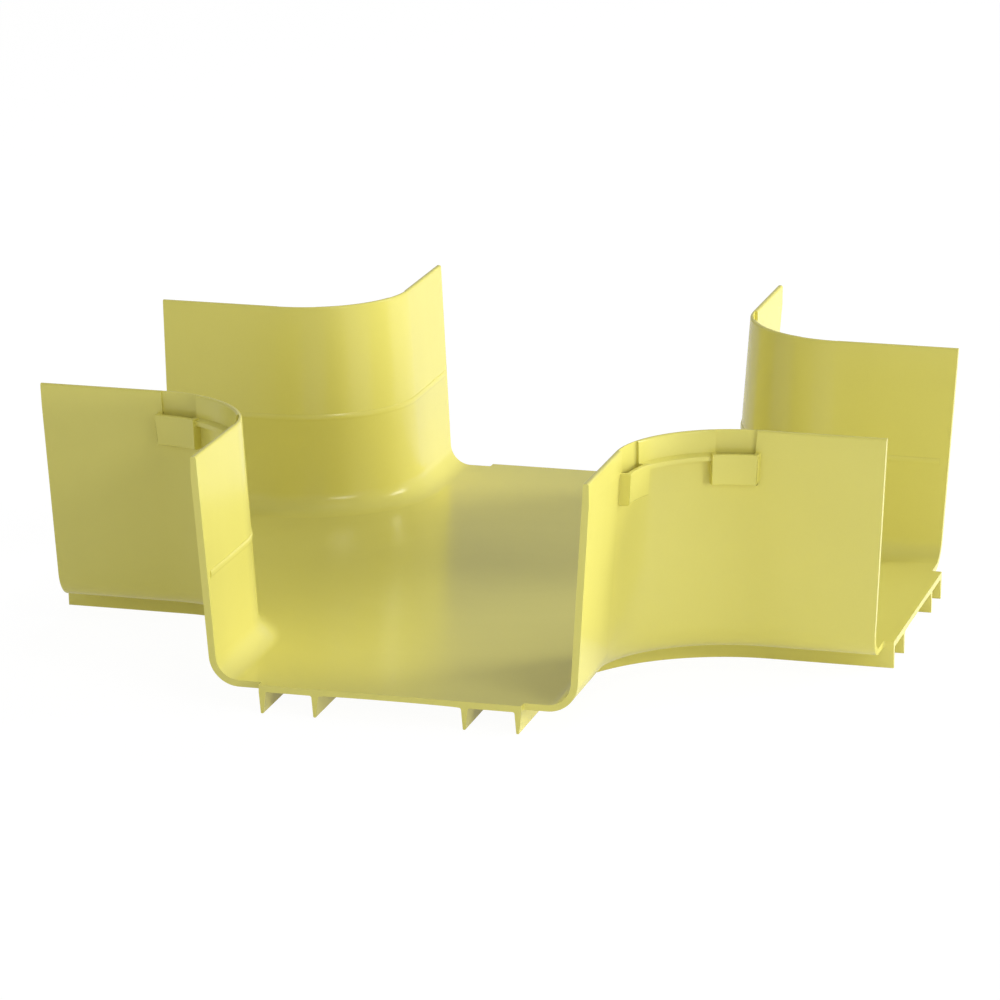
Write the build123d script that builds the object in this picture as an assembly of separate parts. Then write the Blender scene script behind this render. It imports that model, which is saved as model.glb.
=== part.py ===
from build123d import *
import math
import os

# Four-way cross fitting of a fibre raceway, moulded as one piece.
# Two U-shaped channels cross at right angles, and four curved corner walls join them.
# Lengths are in millimetres and angles in degrees. The origin is under the middle of the
# fitting, on the plane that the fin tips stand on, and Z points up to the open side.

# Whole fitting
rim_half_width = 78.0         # channel centre line to a wall's outer face, at the rim
rim_half_span = 172.4         # middle of the cross to the end of a wall, at the rim
overall_height = 100.0        # fin tips to rim
corner_radius = 44.0          # outer face of a curved corner wall, at the rim
corner_turn = 90.0

# Walls and floor
wall_thickness = 2.75
floor_thickness = 2.6
wall_flare = 3.92             # each wall leans out from the channel
end_lean = 2.95               # the ends of the walls lean out too
floor_edge_radius = 12.0      # outside rounding between floor and wall
lead_in_height = 8.5          # upright band under the rim that the cover slips over
rim_rounding_share = 0.4      # of the rim's thickness, on both of its edges

# Bead along the channel side of every wall
bead_bottom = 50.5
bead_height = 3.2
bead_foot_height = 1.2        # lower part of the bead, which slopes back to the wall
bead_proud = 0.4
bead_foot_rounding = 1.5
bead_top_rounding = 0.3
bead_end_gap = 3.5            # bare wall between the bead and the wall's end

# Coupling tongues
tongue_length = 4.2           # past the end of the floor
tongue_half_width = 52.0
tongue_root_rounding = 1.0
tongue_arch_rise = 0.4        # shallow arch under the tongue, between the inner fins

# Fins and perimeter ribs under the floor
fin_height = 8.6
fin_root_thickness = 2.7
fin_tip_thickness = 1.1
fin_tip_rounding_share = 0.4  # of the tip's thickness, on both of its edges
fin_root_rounding = 0.8
fin_pitch = 21.0              # outer fin to inner fin
inner_fin_length = 50.0

# Cover pockets, two at each corner
pocket_drop = 8.8             # rim to the top of the pocket
pocket_height = 12.6
pocket_proud = 4.2
pocket_lip_thickness = 1.7
pocket_side_thickness = 1.9
pocket_floor_thickness = 1.6
pocket_slot_start = 1.1       # tangent line to the slot's straight end, at the pocket's top
pocket_slot_end = 16.6        # tangent line to the slot's other end, along the wall
pocket_draft = 4.4            # the straight end of slot and pocket leans in towards its foot
pocket_recess_depth = 1.05
pocket_corner_rounding = 0.5
pocket_bottom_rounding = 0.9

# Ledge that joins the two pockets of a corner, its crease level with their tops
ledge_slope_drop = 1.0
ledge_face_height = 1.9
ledge_proud = 2.6
ledge_rounding = 0.4

cut_overrun = 1.0             # how far a cutting body runs past what it cuts

# Places worked out from the sizes above
corner_centre = rim_half_width + corner_radius
floor_bottom = fin_height
floor_top = floor_bottom + floor_thickness
lead_in_bottom = overall_height - lead_in_height
flare_slope = math.tan(math.radians(wall_flare))
lean_slope = math.tan(math.radians(end_lean))
wall_width_across = wall_thickness / math.cos(math.radians(wall_flare))
floor_half_span = rim_half_span - lean_slope * (overall_height - floor_bottom)
tongue_end = floor_half_span + tongue_length
inner_fin_half_width = tongue_half_width - fin_pitch
floor_joint_half_width = tongue_half_width - fin_root_thickness
pocket_top = overall_height - pocket_drop
pocket_bottom = pocket_top - pocket_height
draft_slope = math.tan(math.radians(pocket_draft))
slot_angle = math.degrees(pocket_slot_end / corner_radius)
pocket_angle = slot_angle + math.degrees(pocket_side_thickness / corner_radius)
corner_axis = Axis((corner_centre, corner_centre, 0), (0, 0, -1))
corner_mirror = Plane(origin=(0, 0, 0), z_dir=(1, -1, 0))


def flared_half_width(height):
    """Centre line to the outer face of the flared wall, carried on past the lead-in band."""
    return rim_half_width - flare_slope * (lead_in_bottom - height)


def outer_half_width(height):
    """Centre line to the real outer face, which stands upright in the lead-in band."""
    return flared_half_width(min(height, lead_in_bottom))


def inner_half_width(height):
    """Centre line to the channel side of the wall."""
    return flared_half_width(height) - wall_width_across


def cross_section(points):
    """A face across the channel, from points given as half-width and height."""
    section_plane = Plane(origin=(corner_centre, 0, 0), x_dir=(0, 1, 0), z_dir=(1, 0, 0))
    return (section_plane * make_face(Polyline(*points, close=True))).face()


def rounded(face, half_width, height, radius):
    """The face with its corner at this half-width and height rounded."""
    place = Vector(corner_centre, half_width, height)
    corner = face.vertices().sort_by_distance(place)[0]
    return face.fillet_2d(radius, [corner])


def straight(face, end):
    """A cross-section carried from the corner's tangent line out to the given distance."""
    return extrude(face, amount=end - corner_centre, dir=(1, 0, 0))


def bend(face, start_angle, end_angle):
    """A cross-section turned round the corner's centre, from one angle to another."""
    turned = face.rotate(corner_axis, start_angle)
    return revolve(turned, corner_axis, revolution_arc=end_angle - start_angle)


def mirrored_too(shape):
    """The shape and its mirror image on the corner's other straight."""
    return shape + mirror(shape, about=corner_mirror)


def around_corner(face, end):
    """A cross-section carried along one straight, round the corner and along the next."""
    return mirrored_too(straight(face, end)) + bend(face, 0, corner_turn)


def wall_section():
    """Wall, rounded floor edge and the strip of floor beside it."""
    rim_inner = inner_half_width(overall_height)
    face = cross_section([
        (floor_joint_half_width, floor_bottom),
        (flared_half_width(floor_bottom), floor_bottom),
        (rim_half_width, lead_in_bottom),
        (rim_half_width, overall_height),
        (rim_inner, overall_height),
        (inner_half_width(floor_top), floor_top),
        (floor_joint_half_width, floor_top),
    ])
    inside_radius = floor_edge_radius - wall_thickness
    rim_rounding = rim_rounding_share * (rim_half_width - rim_inner)
    face = rounded(face, flared_half_width(floor_bottom), floor_bottom, floor_edge_radius)
    face = rounded(face, inner_half_width(floor_top), floor_top, inside_radius)
    face = rounded(face, rim_half_width, overall_height, rim_rounding)
    return rounded(face, rim_inner, overall_height, rim_rounding)


def bead_section():
    """Low bead, stepped at its top and sloping into the wall at its foot, seated in the wall."""
    bead_top = bead_bottom + bead_height
    foot_top = bead_bottom + bead_foot_height
    seat = wall_thickness / 2
    lower_edge = inner_half_width(foot_top) - bead_proud
    upper_edge = inner_half_width(bead_top) - bead_proud
    face = cross_section([
        (inner_half_width(bead_bottom), bead_bottom),
        (inner_half_width(bead_bottom) + seat, bead_bottom),
        (inner_half_width(bead_top) + seat, bead_top),
        (upper_edge, bead_top),
        (lower_edge, foot_top),
    ])
    face = rounded(face, lower_edge, foot_top, bead_foot_rounding)
    return rounded(face, upper_edge, bead_top, bead_top_rounding)


def corner_wall():
    """One corner wall with its bead."""
    end_plane = Plane(origin=(rim_half_span, 0, overall_height), z_dir=(1, 0, -lean_slope))
    long_straight = straight(wall_section(), rim_half_span + cut_overrun)
    leaning_straight = split(long_straight, bisect_by=end_plane, keep=Keep.BOTTOM)
    wall = mirrored_too(leaning_straight) + bend(wall_section(), 0, corner_turn)
    bead_middle = bead_bottom + bead_height / 2
    wall_end = rim_half_span - lean_slope * (overall_height - bead_middle)
    return wall + around_corner(bead_section(), wall_end - bead_end_gap)


def drafted_end(shape, distance):
    """The shape up to a leaning end, this far past the tangent line at the pocket's top."""
    end_plane = Plane(origin=(corner_centre + distance, 0, pocket_top), z_dir=(1, 0, -draft_slope))
    return split(shape, bisect_by=end_plane, keep=Keep.BOTTOM)


def pocket_body():
    """Outside of one cover pocket: it follows the curved wall from near the tangent line."""
    seat = wall_thickness / 2
    face = cross_section([
        (outer_half_width(pocket_bottom) - seat, pocket_bottom),
        (outer_half_width(pocket_bottom) + pocket_proud, pocket_bottom),
        (outer_half_width(pocket_top) + pocket_proud, pocket_top),
        (outer_half_width(pocket_top) - seat, pocket_top),
    ])
    outer_bottom = outer_half_width(pocket_bottom) + pocket_proud
    outer_top = outer_half_width(pocket_top) + pocket_proud
    face = rounded(face, outer_bottom, pocket_bottom, pocket_bottom_rounding)
    face = rounded(face, outer_top, pocket_top, ledge_rounding)
    long_body = straight(face, corner_centre + pocket_side_thickness) + bend(face, 0, pocket_angle)
    body = drafted_end(long_body, pocket_side_thickness - pocket_slot_start)
    middle_height = (pocket_bottom + pocket_top) / 2
    reach = corner_centre - outer_half_width(middle_height) - pocket_proud
    turn = math.radians(pocket_angle)
    free_corner = Vector(
        corner_centre - reach * math.sin(turn),
        corner_centre - reach * math.cos(turn),
        middle_height,
    )
    upright_edges = body.edges().filter_by(GeomType.LINE)
    return fillet(upright_edges.sort_by_distance(free_corner)[0], pocket_corner_rounding)


def pocket_slot():
    """Slot of one pocket, carried up as a recess in the wall's outer face to the rim."""
    slot_bottom = pocket_bottom + pocket_floor_thickness
    slot_width = pocket_recess_depth + pocket_proud - pocket_lip_thickness
    heights = (slot_bottom, lead_in_bottom, overall_height + cut_overrun)
    wall_side = [(outer_half_width(h) - pocket_recess_depth, h) for h in heights]
    lip_side = [(half_width + slot_width, h) for half_width, h in reversed(wall_side)]
    long_slot = bend(cross_section(wall_side + lip_side), 0, slot_angle)
    return drafted_end(long_slot, -pocket_slot_start)


def ledge():
    """Ledge with a sloping top that runs round the outside of the corner between its pockets."""
    seat = wall_thickness / 2
    edge = pocket_top - ledge_slope_drop
    underside = edge - ledge_face_height
    face = cross_section([
        (outer_half_width(pocket_top) - seat, pocket_top),
        (outer_half_width(pocket_top), pocket_top),
        (outer_half_width(edge) + ledge_proud, edge),
        (outer_half_width(underside) + ledge_proud, underside),
        (outer_half_width(underside) - seat, underside),
    ])
    face = rounded(face, outer_half_width(edge) + ledge_proud, edge, ledge_rounding)
    return bend(face, slot_angle, corner_turn - slot_angle)


def fin_section(outer, round_outer_root):
    """Tapered fin whose root is let into the floor, at the given half-width of its outer face."""
    inner = outer - fin_root_thickness
    taper = (fin_root_thickness - fin_tip_thickness) / 2
    seat = floor_bottom + floor_thickness / 2
    foot = 2 * fin_root_rounding
    outer_foot = [(outer + foot, floor_bottom), (outer + foot, seat)] if round_outer_root else []
    face = cross_section([
        (inner + taper, 0),
        (outer - taper, 0),
        (outer, floor_bottom),
        *(outer_foot or [(outer, seat)]),
        (inner - foot, seat),
        (inner - foot, floor_bottom),
        (inner, floor_bottom),
    ])
    tip_rounding = fin_tip_rounding_share * fin_tip_thickness
    face = rounded(face, inner + taper, 0, tip_rounding)
    face = rounded(face, outer - taper, 0, tip_rounding)
    face = rounded(face, inner, floor_bottom, fin_root_rounding)
    if round_outer_root:
        face = rounded(face, outer, floor_bottom, fin_root_rounding)
    return face


def perimeter_rib():
    """Outer fins of two openings and the rib that joins them round the corner."""
    rounded_end = floor_half_span - 2 * fin_root_rounding
    rib = around_corner(fin_section(tongue_half_width, True), rounded_end)
    return rib + mirrored_too(straight(fin_section(tongue_half_width, False), tongue_end))


def inner_fin():
    """Inner fin of one opening, with a ramp at its hidden end."""
    fin = extrude(
        Pos(tongue_end - corner_centre, 0, 0) * fin_section(inner_fin_half_width, True),
        amount=-inner_fin_length,
        dir=(1, 0, 0),
    )
    ramp_start = tongue_end - inner_fin_length
    side_plane = Plane.XZ.offset(-inner_fin_half_width - cut_overrun)
    ramp = side_plane * make_face(Polyline(
        (ramp_start - cut_overrun, -cut_overrun),
        (ramp_start + floor_bottom + cut_overrun, -cut_overrun),
        (ramp_start, floor_bottom),
        (ramp_start - cut_overrun, floor_bottom),
        close=True,
    ))
    return fin - extrude(ramp, amount=fin_root_thickness + 2 * cut_overrun)


def tongue():
    """Plate that carries the floor on past the walls at one opening, thinned by a shallow arch."""
    root = 2 * tongue_root_rounding
    alignment = (Align.MIN, Align.CENTER)
    plan = Rectangle(root + tongue_length, 2 * tongue_half_width, align=alignment)
    plan += Rectangle(root, 2 * (tongue_half_width + root), align=alignment)
    root_corners = [
        plan.vertices().sort_by_distance(Vector(root, side * tongue_half_width))[0]
        for side in (-1, 1)
    ]
    plan = fillet(root_corners, tongue_root_rounding)
    plate = extrude(Pos(floor_half_span - root, 0, floor_bottom) * plan, amount=floor_thickness)
    arch_half_width = inner_fin_half_width - fin_root_thickness - fin_root_rounding
    arch_plane = Plane(origin=(floor_half_span, 0, 0), x_dir=(0, 1, 0), z_dir=(1, 0, 0))
    left, right = (-arch_half_width, floor_bottom), (arch_half_width, floor_bottom)
    arch_edges = [
        ThreePointArc(left, (0, floor_bottom + tongue_arch_rise), right),
        Line(right, left),
    ]
    arch = extrude(arch_plane * make_face(arch_edges), amount=tongue_length + cut_overrun)
    return plate - arch


def middle_floor():
    """Cross-shaped middle of the floor, up to the strips that belong to the walls."""
    arm = Rectangle(2 * floor_half_span, 2 * floor_joint_half_width)
    plan = arm + Rectangle(2 * floor_joint_half_width, 2 * floor_half_span)
    joint = Vector(floor_joint_half_width, floor_joint_half_width)
    inner_corners = [
        plan.vertices().sort_by_distance(joint.rotate(Axis.Z, quarter * corner_turn))[0]
        for quarter in range(4)
    ]
    plan = fillet(inner_corners, corner_centre - floor_joint_half_width)
    return extrude(Pos(0, 0, floor_bottom) * plan, amount=floor_thickness)


def cross_fitting():
    """The whole moulding: one corner and one opening are built, then repeated round the middle."""
    corner = corner_wall() + ledge() + mirrored_too(pocket_body())
    corner -= mirrored_too(pocket_slot())
    corner += perimeter_rib()
    opening = tongue() + inner_fin() + mirror(inner_fin(), about=Plane.XZ)
    quarter = corner + opening
    body = middle_floor()
    for step in range(4):
        body += quarter.rotate(Axis.Z, step * corner_turn)
    return body


os.makedirs("parts", exist_ok=True)
export_step(cross_fitting(), "parts/cross_fitting.step")
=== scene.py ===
import bpy
import bmesh
import math
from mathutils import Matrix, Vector


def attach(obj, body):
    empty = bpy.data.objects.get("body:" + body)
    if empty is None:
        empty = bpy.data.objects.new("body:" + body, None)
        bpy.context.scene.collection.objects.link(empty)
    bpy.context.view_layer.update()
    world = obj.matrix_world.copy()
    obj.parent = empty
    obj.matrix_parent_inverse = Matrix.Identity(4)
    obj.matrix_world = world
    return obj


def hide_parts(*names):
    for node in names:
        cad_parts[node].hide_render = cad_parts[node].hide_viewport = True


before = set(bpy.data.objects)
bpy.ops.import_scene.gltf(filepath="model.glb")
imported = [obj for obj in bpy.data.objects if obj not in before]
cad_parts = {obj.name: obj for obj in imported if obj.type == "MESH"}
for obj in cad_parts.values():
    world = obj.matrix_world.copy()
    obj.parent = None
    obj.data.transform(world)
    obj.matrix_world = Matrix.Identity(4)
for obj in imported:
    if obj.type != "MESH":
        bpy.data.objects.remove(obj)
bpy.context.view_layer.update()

# Four-way cross of a fibre raceway, moulded as one piece, on a white studio floor.
# Lengths are written in millimetres and turned into metres by MM. Studio distances are in metres.
MM = 0.001

# Whole fitting
rim_half_width = 78.0 * MM         # channel centre line to a wall's outer face, at the rim
rim_half_span = 172.4 * MM         # middle of the cross to the end of a wall, at the rim
overall_height = 100.0 * MM        # fin tips to rim
corner_radius = 44.0 * MM          # outer face of a curved corner wall, at the rim

# Walls and floor
wall_thickness = 2.75 * MM
floor_thickness = 2.6 * MM
flare_slope = math.tan(math.radians(3.92))    # each wall leans out from the channel
lean_slope = math.tan(math.radians(2.95))     # the ends of the walls lean out too
floor_edge_radius = 12.0 * MM      # outside rounding between floor and wall
lead_in_height = 8.5 * MM          # upright band under the rim that the cover slips over
rim_rounding_share = 0.4           # of the rim's thickness, on both of its edges

# Bead along the channel side of every wall
bead_bottom = 50.5 * MM
bead_height = 3.2 * MM
bead_foot_height = 1.2 * MM        # lower part of the bead, which slopes back to the wall
bead_proud = 0.4 * MM
bead_foot_rounding = 1.5 * MM
bead_brow_height = 0.85 * MM       # upper part, which leans back a little and catches the light
bead_brow_back = 0.22 * MM
bead_brow_rounding = 2.0 * MM
bead_end_gap = 3.5 * MM            # bare wall between the bead and the wall's end

# Coupling tongues
tongue_length = 4.2 * MM           # past the end of the floor
tongue_half_width = 52.0 * MM
tongue_root_rounding = 1.0 * MM
tongue_arch_rise = 0.4 * MM        # shallow arch under the tongue, between the inner fins

# Fins and perimeter ribs under the floor
fin_height = 8.6 * MM
fin_root_thickness = 2.7 * MM
fin_tip_thickness = 1.1 * MM
fin_tip_rounding_share = 0.4       # of the tip's thickness, on both of its edges
fin_root_rounding = 0.8 * MM
fin_pitch = 21.0 * MM              # outer fin to inner fin
inner_fin_length = 50.0 * MM

# Cover pockets, two at each corner
pocket_drop = 8.8 * MM             # rim to the top of the pocket
pocket_height = 12.6 * MM
pocket_proud = 4.2 * MM
pocket_lip_thickness = 1.7 * MM
pocket_side_thickness = 1.9 * MM
pocket_floor_thickness = 1.6 * MM
pocket_slot_start = 1.1 * MM       # tangent line to the slot's straight end, at the pocket's top
pocket_slot_end = 16.6 * MM        # tangent line to the slot's other end, along the wall
pocket_draft_slope = math.tan(math.radians(4.4))    # the straight end leans in towards its foot
pocket_recess_depth = 1.05 * MM
pocket_bottom_rounding = 0.9 * MM

# Ledge that joins the two pockets of a corner
ledge_slope_drop = 1.0 * MM
ledge_face_height = 1.9 * MM
ledge_proud = 2.6 * MM
ledge_rounding = 0.4 * MM

# Making the mesh
overlap = 1.0 * MM                 # how far joined pieces run into each other
shortest_edge = 0.006 * MM         # shorter ones are merged away
same_point = 0.001 * MM
past_rounding = 1.001              # a straight beside a rounding, as a share of the rounding
path_end_share = 0.00001           # of a path's length, within which a point is at its end
corner_steps = 60
arch_steps = 24
fewest_rounding_steps = 3
rounding_steps = 4                 # for each radian of a 1 mm rounding
sharpest_bend = math.radians(24)   # that is still shaded as a smooth surface

# Worked out from the sizes above
corner_centre = rim_half_width + corner_radius
corner_length = corner_radius * math.pi / 2
floor_bottom = fin_height
floor_top = floor_bottom + floor_thickness
lead_in_bottom = overall_height - lead_in_height
wall_width_across = wall_thickness / math.cos(math.atan(flare_slope))
wall_middle = wall_thickness / 2
floor_half_span = rim_half_span - lean_slope * (overall_height - floor_bottom)
floor_joint = tongue_half_width - fin_root_thickness
tongue_end = floor_half_span + tongue_length
inner_fin_half_width = tongue_half_width - fin_pitch
pocket_top = overall_height - pocket_drop
pocket_bottom = pocket_top - pocket_height

# Yellow of the plastic, where the pigment is deepest and lightest
deep_yellow = (0.755, 0.692, 0.156, 1)
light_yellow = (0.825, 0.766, 0.198, 1)
plastic_roughness = 0.20
peel_depth = 0.00002               # metres, of the slight waviness of a moulded surface

# Studio floor and room
floor_half_size = 8.0
paper_white = (0.92, 0.92, 0.92, 1)
full_white = (1, 1, 1, 1)
floor_strength = 1.05
floor_white_share = 0.91           # the rest is paper, which keeps the shadow
floor_mirrored_share = 0.35        # of the white floor, in reflections
floor_glow_share = 0.16            # of the white floor, in the light that it gives
room_level = 0.405
room_darker_above = 0.6            # share of the level that is lost overhead
room_mirrored_share = 0.06

# Camera, fitted to the photograph
lens_length = 189.4                # millimetres, as the width of the film
film_width = 36.0
camera_place = (0.5374, -2.007, 0.6067)
camera_dip = 0.2648                # radians below level
camera_turn = 0.2628               # radians to the left of straight ahead

# Lamps: name, bearing from the near side and rise in degrees, width, height, power, whether it is
# seen in reflections. The keys light the object, and the panel and the gleams give its highlights.
lamp_distance = 2.2
lamp_aim = Vector((0, 0, 0.05))
studio_lamps = [
    ("key_right_back", 118, 13, 0.9, 0.9, 28.0, False),
    ("key_right_front", 60, 6, 0.4, 0.3, 7.3, False),
    ("top_right", 60, 65, 1.0, 1.0, 6.0, False),
    ("top_back", 180, 65, 1.0, 1.0, 5.6, False),
    ("fill_front", 335, 24, 0.6, 0.6, 2.2, False),
    ("fill_low_front", 345, 4, 0.6, 0.2, 0.6, False),
    ("fill_left", 290, 16, 1.0, 1.0, 3.0, False),
    ("panel_right_front", 60, 10, 1.3, 1.0, 1.0, True),
    ("gleam_right_back", 120, 26, 0.5, 0.5, 6.4, True),
    ("gleam_right_front", 50, 24, 1.0, 0.25, 4.9, True),
]


def flared(height):
    """Centre line to the outer face of the flared wall, carried on past the lead-in band."""
    return rim_half_width - flare_slope * (lead_in_bottom - height)


def outer(height):
    """Centre line to the outer face of the wall, which stands upright from the lead-in band on."""
    return flared(min(height, lead_in_bottom))


def inner(height):
    """Centre line to the channel side of the wall."""
    return flared(height) - wall_width_across


# Node trees
def sum_of(operation, swapped=False):
    """A method for one of Wire's operators, which adds the Math node that does the sum."""
    def method(self, value):
        return self.graph.maths(operation, *((value, self) if swapped else (self, value)))
    return method


class Wire:
    """An output socket. Plain arithmetic on it makes Math nodes."""

    __add__ = sum_of("ADD")
    __radd__ = sum_of("ADD", swapped=True)
    __sub__ = sum_of("SUBTRACT")
    __rsub__ = sum_of("SUBTRACT", swapped=True)
    __mul__ = sum_of("MULTIPLY")
    __rmul__ = sum_of("MULTIPLY", swapped=True)
    __lt__ = sum_of("LESS_THAN")
    __gt__ = sum_of("GREATER_THAN")

    def __init__(self, graph, socket):
        self.graph = graph
        self.socket = socket

    def other(self, name):
        """Another output of the same node."""
        return Wire(self.graph, self.socket.node.outputs[name])


class Graph:
    """A node tree that is written as sums of wires and one method for every other node."""

    def __init__(self, tree):
        self.tree = tree

    def node(self, kind, settings=None, sockets=None, output=0):
        """Adds a node with its settings and the values or links of its sockets, and gives an output."""
        made = self.tree.nodes.new(kind)
        for name, value in (settings or {}).items():
            setattr(made, name, value)
        for key, value in (sockets or {}).items():
            for each in value if isinstance(value, list) else [value]:
                if isinstance(each, Wire):
                    self.tree.links.new(each.socket, made.inputs[key])
                else:
                    made.inputs[key].default_value = each
        return Wire(self, made.outputs[output])

    def maths(self, operation, *values):
        return self.node("ShaderNodeMath", {"operation": operation}, dict(enumerate(values)))

    def vector(self, operation, *values, output=0):
        return self.node("ShaderNodeVectorMath", {"operation": operation}, dict(enumerate(values)), output)

    def blend(self, factor, first, second):
        """Colour between two colours."""
        sockets = {0: factor, 6: first, 7: second}
        return self.node("ShaderNodeMix", {"data_type": "RGBA"}, sockets, 2)


def geometry_tree(name, inputs):
    """A geometry tree with named inputs, and its graph, its input wires and its output node."""
    tree = bpy.data.node_groups.new(name, "GeometryNodeTree")
    for label, kind in inputs:
        tree.interface.new_socket(label, in_out="INPUT", socket_type=kind)
    tree.interface.new_socket("Geometry", in_out="OUTPUT", socket_type="NodeSocketGeometry")
    graph = Graph(tree)
    entry = tree.nodes.new("NodeGroupInput")
    wires = {label: Wire(graph, entry.outputs[label]) for label, _ in inputs}
    return tree, graph, wires, tree.nodes.new("NodeGroupOutput")


# Sections, as outlines of (across, up, rounding), across from the channel's centre line
def outline(corners):
    """Closed outline through the corners, with their roundings drawn as arcs."""
    points = []
    for index, (across, up, rounding) in enumerate(corners):
        here = Vector((across, up))
        if not rounding:
            points.append(here)
            continue
        back = (Vector(corners[index - 1][:2]) - here).normalized()
        ahead = (Vector(corners[(index + 1) % len(corners)][:2]) - here).normalized()
        half = back.angle(ahead) / 2
        start = here + back * rounding / math.tan(half)
        centre = here + (back + ahead).normalized() * rounding / math.sin(half)
        arm = start - centre
        sweep = arm.angle_signed(here + ahead * rounding / math.tan(half) - centre)
        fineness = rounding_steps * math.sqrt(rounding / MM)
        steps = max(fewest_rounding_steps, round(abs(sweep) * fineness))
        for step in range(steps + 1):
            turn = -sweep * step / steps
            points.append(centre + Vector((
                arm.x * math.cos(turn) - arm.y * math.sin(turn),
                arm.x * math.sin(turn) + arm.y * math.cos(turn),
            )))
    return points


def closed_curve(name, points):
    """Closed curve object through the points, for a tree to sweep or fill."""
    curve = bpy.data.curves.new(name, "CURVE")
    curve.dimensions = "3D"
    spline = curve.splines.new("POLY")
    spline.points.add(len(points) - 1)
    for place, point in zip(spline.points, points):
        place.co = (point[0], point[1], 0, 1)
    spline.use_cyclic_u = True
    made = bpy.data.objects.new(name, curve)
    bpy.context.scene.collection.objects.link(made)
    return made


def section(name, corners):
    """Cross-section of something that follows a wall, measured from the rim's outer face."""
    return closed_curve(name, [(p.x - rim_half_width, -p.y) for p in reversed(outline(corners))])


def wall_section():
    """Wall and the rounded edge of the floor, from the floor's joint to the rim."""
    rim_inner = inner(overall_height)
    rim_rounding = rim_rounding_share * (rim_half_width - rim_inner)
    return section("wall_section", [
        (floor_joint, floor_bottom, 0),
        (flared(floor_bottom), floor_bottom, floor_edge_radius),
        (rim_half_width, lead_in_bottom, 0),
        (rim_half_width, overall_height, rim_rounding),
        (rim_inner, overall_height, rim_rounding),
        (inner(floor_top), floor_top, floor_edge_radius - wall_thickness),
        (floor_joint, floor_top, 0),
    ])


def bead_section():
    """Bead with a sloping foot and a brow that leans back, let into the wall."""
    bead_top = bead_bottom + bead_height
    foot_top = bead_bottom + bead_foot_height
    brow = bead_top - bead_brow_height
    return section("bead_section", [
        (inner(bead_bottom), bead_bottom, 0),
        (inner(bead_bottom) + wall_middle, bead_bottom, 0),
        (inner(bead_top) + wall_middle, bead_top, 0),
        (inner(bead_top) - bead_proud + bead_brow_back, bead_top, 0),
        (inner(brow) - bead_proud, brow, bead_brow_rounding),
        (inner(foot_top) - bead_proud, foot_top, bead_foot_rounding),
    ])


def ledge_section():
    """Ledge with a sloping top, its crease level with the tops of the pockets."""
    edge = pocket_top - ledge_slope_drop
    underside = edge - ledge_face_height
    return section("ledge_section", [
        (outer(underside) - wall_middle, underside, 0),
        (outer(underside) + ledge_proud, underside, 0),
        (outer(edge) + ledge_proud, edge, ledge_rounding),
        (outer(pocket_top), pocket_top, 0),
        (outer(pocket_top) - wall_middle, pocket_top, 0),
    ])


def pocket_section():
    """Solid block of a pocket, before its slot is cut."""
    return section("pocket_section", [
        (outer(pocket_bottom) - wall_middle, pocket_bottom, 0),
        (outer(pocket_bottom) + pocket_proud, pocket_bottom, pocket_bottom_rounding),
        (outer(pocket_top) + pocket_proud, pocket_top, ledge_rounding),
        (outer(pocket_top) - wall_middle, pocket_top, 0),
    ])


def slot_section():
    """Slot behind the pocket's lip, with the recess that it leaves in the wall up to the rim."""
    slot_bottom = pocket_bottom + pocket_floor_thickness
    slot_width = pocket_recess_depth + pocket_proud - pocket_lip_thickness
    heights = (slot_bottom, lead_in_bottom, overall_height + overlap)
    wall_side = [(outer(height) - pocket_recess_depth, height, 0) for height in heights]
    lip_side = [(across + slot_width, height, 0) for across, height, _ in wall_side]
    return section("slot_section", lip_side + wall_side[::-1])


def fin_section(name, outside, round_outside):
    """Tapered fin with rounded roots, let into the floor."""
    inside = outside - fin_root_thickness
    taper = (fin_root_thickness - fin_tip_thickness) / 2
    tip_rounding = fin_tip_rounding_share * fin_tip_thickness
    seat = floor_bottom + floor_thickness / 2
    foot = fin_root_rounding * past_rounding
    outer_root = [(outside, floor_bottom, 0)]
    outer_reach = 0
    if round_outside:
        outer_root = [(outside, floor_bottom, fin_root_rounding), (outside + foot, floor_bottom, 0)]
        outer_reach = foot
    return section(name, [
        (inside + taper, 0, tip_rounding),
        (outside - taper, 0, tip_rounding),
        *outer_root,
        (outside + outer_reach, seat, 0),
        (inside - foot, seat, 0),
        (inside - foot, floor_bottom, 0),
        (inside, floor_bottom, fin_root_rounding),
    ])


def arch_section():
    """Shallow arch under a tongue, between the inner fins."""
    half = inner_fin_half_width - fin_root_thickness - fin_root_rounding
    below = floor_bottom - overlap
    bow = []
    for step in range(arch_steps, -1, -1):
        turn = math.pi * step / arch_steps
        bow.append((-half * math.cos(turn), floor_bottom + tongue_arch_rise * math.sin(turn), 0))
    return section("arch_section", [(-half, below, 0), (half, below, 0)] + bow)


def floor_plan():
    """Floor between the walls with its four tongues, seen from above."""
    edge = floor_joint + overlap
    root = tongue_root_rounding
    back = floor_half_span - 2 * root
    opening = [
        (tongue_end, -tongue_half_width, 0),
        (tongue_end, tongue_half_width, 0),
        (floor_half_span, tongue_half_width, root),
        (floor_half_span, tongue_half_width + root * past_rounding, 0),
        (back, tongue_half_width + root, 0),
        (back, edge, 0),
    ]
    arc = []
    reach = corner_centre - edge
    for step in range(corner_steps + 1):
        turn = math.pi / 2 * step / corner_steps
        arc.append((corner_centre - reach * math.sin(turn), corner_centre - reach * math.cos(turn), 0))
    close = [(y, x, 0) for x, y, _ in opening[5:2:-1]] + [(tongue_half_width, floor_half_span, root)]
    quarter = opening + arc + close
    corners = []
    for _ in range(4):
        corners += quarter
        quarter = [(-y, x, rounding) for x, y, rounding in quarter]
    return closed_curve("floor_plan", outline(corners))


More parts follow.
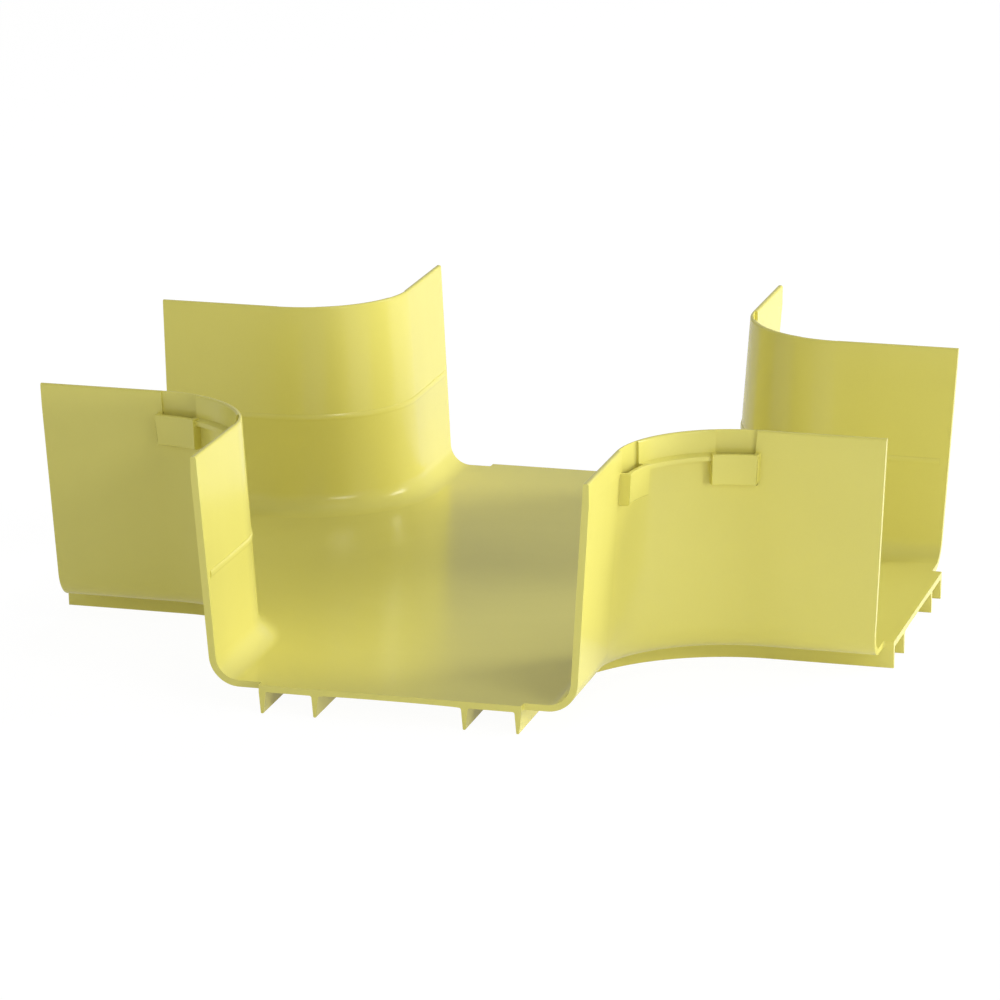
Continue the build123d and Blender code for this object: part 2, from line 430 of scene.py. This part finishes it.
# The moulding
def follow_wall_tree():
    """Sweeps a section along one straight of a corner, round its bend and out along the other."""
    tree, graph, sizes, out = geometry_tree("follow_wall", [
        ("Section", "NodeSocketObject"),
        ("Reach", "NodeSocketFloat"),
        ("From", "NodeSocketFloat"),
        ("To", "NodeSocketFloat"),
        ("Start Lean", "NodeSocketFloat"),
        ("End Lean", "NodeSocketFloat"),
        ("Lean Height", "NodeSocketFloat"),
    ])

    # Path through three points: far end of one wall, corner of the rim, far end of the other wall
    number = graph.node("GeometryNodeInputIndex")
    arm = sizes["Reach"] - rim_half_width
    place = graph.node("ShaderNodeCombineXYZ", sockets={
        0: rim_half_width + arm * (number < 0.5),
        1: rim_half_width + arm * (number > 1.5),
    })
    line = graph.node("GeometryNodeMeshLine", sockets={"Count": 3})
    line = graph.node("GeometryNodeSetPosition", sockets={"Geometry": line, "Position": place})
    path = graph.node("GeometryNodeMeshToCurve", sockets={"Mesh": line})
    path = graph.node("GeometryNodeFilletCurve", {"mode": "POLY"}, {
        "Curve": path, "Count": corner_steps - 1, "Radius": corner_radius,
    })
    path = graph.node("GeometryNodeTrimCurve", {"mode": "LENGTH"}, {
        "Curve": path, 4: sizes["From"], 5: sizes["To"],
    })
    path = graph.node("GeometryNodeSetCurveNormal", {"mode": "Z_UP"}, {"Curve": path})

    # Each point of the swept section remembers its place and its heading along the path
    path = graph.node("GeometryNodeStoreNamedAttribute", sockets={
        "Geometry": path, "Name": "along", "Value": graph.node("GeometryNodeSplineParameter"),
    })
    vectors = {"data_type": "FLOAT_VECTOR"}
    path = graph.node("GeometryNodeStoreNamedAttribute", vectors, {
        "Geometry": path, "Name": "heading", "Value": graph.node("GeometryNodeInputTangent"),
    })
    shape = graph.node("GeometryNodeObjectInfo", sockets={"Object": sizes["Section"]}, output="Geometry")
    body = graph.node("GeometryNodeCurveToMesh", sockets={
        "Curve": path, "Profile Curve": shape, "Fill Caps": True,
    })

    # The two ends lean, by sliding along their headings
    along = graph.node("GeometryNodeInputNamedAttribute", sockets={"Name": "along"})
    heading = graph.node("GeometryNodeInputNamedAttribute", vectors, {"Name": "heading"})
    position = graph.node("GeometryNodeInputPosition")
    drop = sizes["Lean Height"] - graph.node("ShaderNodeSeparateXYZ", sockets={0: position}, output="Z")
    at_start = along < path_end_share
    at_end = along > 1 - path_end_share
    shift = drop * (sizes["Start Lean"] * at_start - sizes["End Lean"] * at_end)
    lean = graph.node("ShaderNodeVectorMath", {"operation": "SCALE"}, {0: heading, "Scale": shift})
    body = graph.node("GeometryNodeSetPosition", sockets={"Geometry": body, "Offset": lean})
    for name in ("along", "heading"):
        body = graph.node("GeometryNodeRemoveAttribute", sockets={"Geometry": body, "Name": name})
    graph.tree.links.new(body.socket, out.inputs[0])
    return tree


def moulding_tree(material):
    """The whole moulding: one corner and one opening, repeated four times round the middle."""
    shapes = [
        "Wall", "Bead", "Ledge", "Pocket", "Slot", "Rib", "Rib End", "Inner Fin", "Arch", "Floor Plan",
    ]
    lengths = ["Rim Half Span", "Tongue End", "Wall Lean", "Pocket Draft", "Floor Thickness"]
    inputs = [(name, "NodeSocketObject") for name in shapes]
    inputs += [(name, "NodeSocketFloat") for name in lengths]
    tree, graph, sizes, out = geometry_tree("cross_moulding", inputs)
    follow = follow_wall_tree()

    def swept(name, reach, start, end, start_lean=0.0, end_lean=0.0, lean_height=overall_height):
        return graph.node("GeometryNodeGroup", {"node_tree": follow}, {
            "Section": sizes[name], "Reach": reach, "From": start, "To": end,
            "Start Lean": start_lean, "End Lean": end_lean, "Lean Height": lean_height,
        })

    def mirrored(shape, turn):
        """Left-right mirror image, turned about the middle, with its faces outwards again."""
        shape = graph.node("GeometryNodeTransform", sockets={
            "Geometry": shape, "Rotation": (0, 0, math.radians(turn)), "Scale": (1, -1, 1),
        })
        return graph.node("GeometryNodeFlipFaces", sockets={"Mesh": shape})

    def turned(shape, turn):
        spin = (0, 0, math.radians(turn))
        return graph.node("GeometryNodeTransform", sockets={"Geometry": shape, "Rotation": spin})

    def joined(*pieces):
        settings = {"operation": "UNION", "solver": "MANIFOLD"}
        return graph.node("GeometryNodeMeshBoolean", settings, {1: list(pieces)})

    def cut(shape, *tools):
        settings = {"operation": "DIFFERENCE", "solver": "MANIFOLD"}
        return graph.node("GeometryNodeMeshBoolean", settings, {0: shape, 1: list(tools)})

    # One corner above the floor: wall, bead, ledge and two pockets with their slots
    rim_span = sizes["Rim Half Span"]
    straight = rim_span - corner_centre
    whole = straight * 2 + corner_length
    wall = swept("Wall", rim_span, 0.0, whole, sizes["Wall Lean"], sizes["Wall Lean"])
    bead_gap = bead_end_gap + lean_slope * (overall_height - bead_bottom - bead_height / 2)
    bead = swept("Bead", rim_span, bead_gap, whole - bead_gap)
    ledge_start = pocket_slot_end + pocket_side_thickness / 2
    ledge = swept("Ledge", rim_span, straight + ledge_start, straight + corner_length - ledge_start)

    def drafted(name, side_thickness):
        """A pocket, or its slot, with its straight end leaning in towards its foot."""
        start = straight + (pocket_slot_start - side_thickness)
        end = straight + (pocket_slot_end + side_thickness)
        return swept(name, rim_span, start, end, start_lean=sizes["Pocket Draft"], lean_height=pocket_top)

    pocket = drafted("Pocket", pocket_side_thickness)
    slot = drafted("Slot", 0)
    corner = joined(wall, bead, ledge, pocket, mirrored(pocket, 90))
    corner = cut(corner, slot, mirrored(slot, 90))

    # Ribs and fins of one corner, under the floor
    rib_reach = sizes["Tongue End"]
    rib_whole = (rib_reach - corner_centre) * 2 + corner_length
    rib_gap = tongue_length + 2 * fin_root_rounding
    rib = swept("Rib", rib_reach, rib_gap, rib_whole - rib_gap)
    rib_end = swept("Rib End", rib_reach, 0.0, rib_gap + overlap)
    fin = swept("Inner Fin", rib_reach, 0.0, inner_fin_length, end_lean=1.0, lean_height=floor_bottom)
    arch = swept("Arch", rib_reach + overlap, 0.0, tongue_length + overlap)
    corner_parts = [corner, rib, rib_end, mirrored(rib_end, 90), fin, mirrored(fin, 0)]

    # Floor with its tongues
    outline_of_floor = graph.node(
        "GeometryNodeObjectInfo", sockets={"Object": sizes["Floor Plan"]}, output="Geometry",
    )
    plate = graph.node("GeometryNodeFillCurve", {"mode": "NGONS"}, {"Curve": outline_of_floor})
    plate = graph.node("GeometryNodeTransform", sockets={
        "Geometry": plate, "Translation": (0, 0, floor_bottom),
    })
    lid = graph.node("GeometryNodeExtrudeMesh", sockets={
        "Mesh": plate, "Offset": (0, 0, 1), "Offset Scale": sizes["Floor Thickness"], "Individual": False,
    })
    plate = graph.node("GeometryNodeJoinGeometry", sockets={
        0: [lid, graph.node("GeometryNodeFlipFaces", sockets={"Mesh": plate})],
    })
    plate = graph.node("GeometryNodeMergeByDistance", sockets={"Geometry": plate, "Distance": same_point})

    # Four corners round the middle
    quarters = []
    arches = []
    for turn in (0, 90, 180, 270):
        quarters += [turned(shape, turn) for shape in corner_parts]
        arches.append(turned(arch, turn))
    body = joined(cut(plate, *arches), *quarters)
    body = graph.node("GeometryNodeRealizeInstances", sockets={"Geometry": body})
    body = graph.node("GeometryNodeSetMaterial", sockets={"Geometry": body, "Material": material})
    graph.tree.links.new(body.socket, out.inputs[0])
    return tree


def moulded_fitting(material):
    """The fitting as one mesh object, made by the tree."""
    sections = {
        "Wall": wall_section(), "Bead": bead_section(), "Ledge": ledge_section(),
        "Pocket": pocket_section(), "Slot": slot_section(),
        "Rib": fin_section("rib_section", tongue_half_width, True),
        "Rib End": fin_section("rib_end_section", tongue_half_width, False),
        "Inner Fin": fin_section("inner_fin_section", inner_fin_half_width, True),
        "Arch": arch_section(), "Floor Plan": floor_plan(),
    }
    lengths = {
        "Rim Half Span": rim_half_span, "Tongue End": tongue_end, "Wall Lean": lean_slope,
        "Pocket Draft": pocket_draft_slope, "Floor Thickness": floor_thickness,
    }
    made = bpy.data.objects.new("raceway_cross", bpy.data.meshes.new("raceway_cross"))
    bpy.context.scene.collection.objects.link(made)
    sweep = made.modifiers.new("moulding", "NODES")
    sweep.node_group = moulding_tree(material)
    for item in sweep.node_group.interface.items_tree:
        if item.in_out == "INPUT":
            sweep[item.identifier] = sections.get(item.name) or lengths[item.name]
    evaluated = made.evaluated_get(bpy.context.evaluated_depsgraph_get())
    made.data = bpy.data.meshes.new_from_object(evaluated)
    made.modifiers.remove(sweep)
    for shape in sections.values():
        bpy.data.objects.remove(shape)
    return made


def tidy_mesh(piece):
    """Merges what the joins left double, points every face outwards and shades bends smoothly."""
    shape = bmesh.new()
    shape.from_mesh(piece.data)
    broad = [face for face in shape.faces if len(face.verts) > 4]
    bmesh.ops.triangulate(shape, faces=broad, ngon_method="EAR_CLIP")
    bmesh.ops.dissolve_degenerate(shape, edges=shape.edges, dist=shortest_edge)
    loose = [edge for edge in shape.edges if edge.is_wire]
    bmesh.ops.delete(shape, geom=loose, context="EDGES")
    bmesh.ops.recalc_face_normals(shape, faces=shape.faces)
    for face in shape.faces:
        face.smooth = True
    shape.to_mesh(piece.data)
    shape.free()
    piece.data.set_sharp_from_angle(angle=sharpest_bend)


# Materials
def shader_graph(material):
    """The graph of a material whose nodes are cleared, and its output node."""
    material.use_nodes = True
    material.node_tree.nodes.clear()
    return Graph(material.node_tree), material.node_tree.nodes.new("ShaderNodeOutputMaterial")


def noise(graph, place, scale, detail):
    """Noise from 0 to 1, with a scale in features to the metre."""
    return graph.node("ShaderNodeTexNoise", sockets={"Vector": place, "Scale": scale, "Detail": detail})


def swing(pattern, reach):
    """A noise from 0 to 1, as a swing of that reach about nothing."""
    return (pattern - 0.5) * reach


def yellow_plastic():
    """Satin-gloss yellow plastic with cloudy pigment, flow marks from the middle and a fine grain."""
    material = bpy.data.materials.new("yellow_moulded_plastic")
    graph, out = shader_graph(material)
    place = graph.node("ShaderNodeTexCoord", output="Object")

    # Pigment: clouds, specks, and bands that the plastic left as it flowed out from the middle
    cloud = noise(graph, place, scale=11.0, detail=3.0)
    speck = noise(graph, place, scale=1400.0, detail=1.0)
    flattened = graph.vector("MULTIPLY", place, (1, 1, 0.35))
    from_middle = graph.vector("LENGTH", flattened, output="Value")
    drift = noise(graph, place, scale=7.0, detail=2.0)
    bands = graph.node("ShaderNodeCombineXYZ", sockets={0: from_middle * 60 + drift * 3})
    flow = noise(graph, bands, scale=1.0, detail=2.0)
    pigment = swing(cloud, 0.5) + swing(flow, 0.25) + swing(speck, 0.2) + 0.5
    roughness = plastic_roughness + swing(cloud, 0.06) + swing(flow, 0.05) + swing(speck, 0.03)

    # Surface: a slight waviness and a fine grain
    peel = noise(graph, place, scale=190.0, detail=1.0)
    grain = noise(graph, place, scale=1500.0, detail=1.0)
    surface = graph.node("ShaderNodeBump", sockets={
        "Strength": 0.3, "Distance": peel_depth, "Height": peel * 1.5 + grain * 0.12,
    })
    shader = graph.node("ShaderNodeBsdfPrincipled", sockets={
        "Base Color": graph.blend(pigment, deep_yellow, light_yellow),
        "Roughness": roughness,
        "IOR": 1.5,
        "Normal": surface,
    })
    graph.tree.links.new(shader.socket, out.inputs["Surface"])
    return material


def shown(graph, mirrored_share):
    """1 where the background is looked at, and a share of it where it is only mirrored."""
    camera = graph.node("ShaderNodeLightPath", output="Is Camera Ray")
    looked_at = graph.maths("MAXIMUM", camera, camera.other("Is Transmission Ray"))
    return graph.maths("MAXIMUM", looked_at, camera.other("Is Glossy Ray") * mirrored_share)


def studio_white():
    """Floor that shows white with a faint shadow, and glows a little so that the fins aren't lost."""
    material = bpy.data.materials.new("studio_white")
    graph, out = shader_graph(material)
    paper = graph.node("ShaderNodeBsdfDiffuse", sockets={"Color": paper_white})
    white = graph.node("ShaderNodeEmission", sockets={"Color": full_white, "Strength": floor_strength})
    glow = graph.node("ShaderNodeLightPath", output="Is Diffuse Ray") * floor_glow_share
    share = graph.maths("MAXIMUM", shown(graph, floor_mirrored_share) * floor_white_share, glow)
    mixed = graph.node("ShaderNodeMixShader", sockets={0: share, 1: paper, 2: white})
    graph.tree.links.new(mixed.socket, out.inputs["Surface"])
    return material


# Studio
def studio_floor(material):
    """Broad sheet under the fins."""
    shape = bmesh.new()
    bmesh.ops.create_grid(shape, x_segments=2, y_segments=2, size=floor_half_size)
    mesh = bpy.data.meshes.new("studio_floor")
    shape.to_mesh(mesh)
    shape.free()
    mesh.materials.append(material)
    sheet = bpy.data.objects.new("studio_floor", mesh)
    bpy.context.scene.collection.objects.link(sheet)


def studio_room():
    """Dim grey surroundings, darker overhead, which show as white where they are seen."""
    world = bpy.data.worlds.new("studio_surroundings")
    bpy.context.scene.world = world
    world.use_nodes = True
    world.node_tree.nodes.clear()
    graph = Graph(world.node_tree)
    direction = graph.node("ShaderNodeTexCoord", output="Generated")
    rise = graph.node("ShaderNodeSeparateXYZ", sockets={0: direction}, output="Z")
    dim = room_level - graph.maths("MAXIMUM", rise, 0.0) * (room_level * room_darker_above)
    sky = graph.node("ShaderNodeBackground", sockets={
        "Color": full_white, "Strength": dim + shown(graph, room_mirrored_share) * (1.0 - dim),
    })
    out = world.node_tree.nodes.new("ShaderNodeOutputWorld")
    graph.tree.links.new(sky.socket, out.inputs["Surface"])


def soft_lamp(name, bearing, rise, width, height, power, in_reflections):
    """Soft lamp aimed at the fitting."""
    lamp = bpy.data.lights.new(name, "AREA")
    lamp.shape = "ELLIPSE"
    lamp.size = width
    lamp.size_y = height
    lamp.energy = power
    turn = math.radians(bearing)
    tilt = math.radians(rise)
    away = Vector((math.sin(turn) * math.cos(tilt), -math.cos(turn) * math.cos(tilt), math.sin(tilt)))
    stand = bpy.data.objects.new(name, lamp)
    stand.location = lamp_aim + away * lamp_distance
    stand.rotation_euler = (-away).to_track_quat("-Z", "Y").to_euler()
    stand.visible_glossy = in_reflections
    bpy.context.scene.collection.objects.link(stand)


def photo_camera():
    """Long lens at the photograph's viewing angle."""
    lens = bpy.data.cameras.new("camera")
    lens.lens = lens_length
    lens.sensor_width = film_width
    camera = bpy.data.objects.new("camera", lens)
    camera.location = camera_place
    camera.rotation_euler = (math.pi / 2 - camera_dip, 0, camera_turn)
    bpy.context.scene.collection.objects.link(camera)
    bpy.context.scene.camera = camera


# Making the scene
photo_camera()
fitting = moulded_fitting(yellow_plastic())
tidy_mesh(fitting)
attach(fitting, "root")
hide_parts("cross_fitting")

studio_floor(studio_white())
studio_room()
for studio_lamp in studio_lamps:
    soft_lamp(*studio_lamp)
bpy.context.scene.view_settings.view_transform = "Standard"
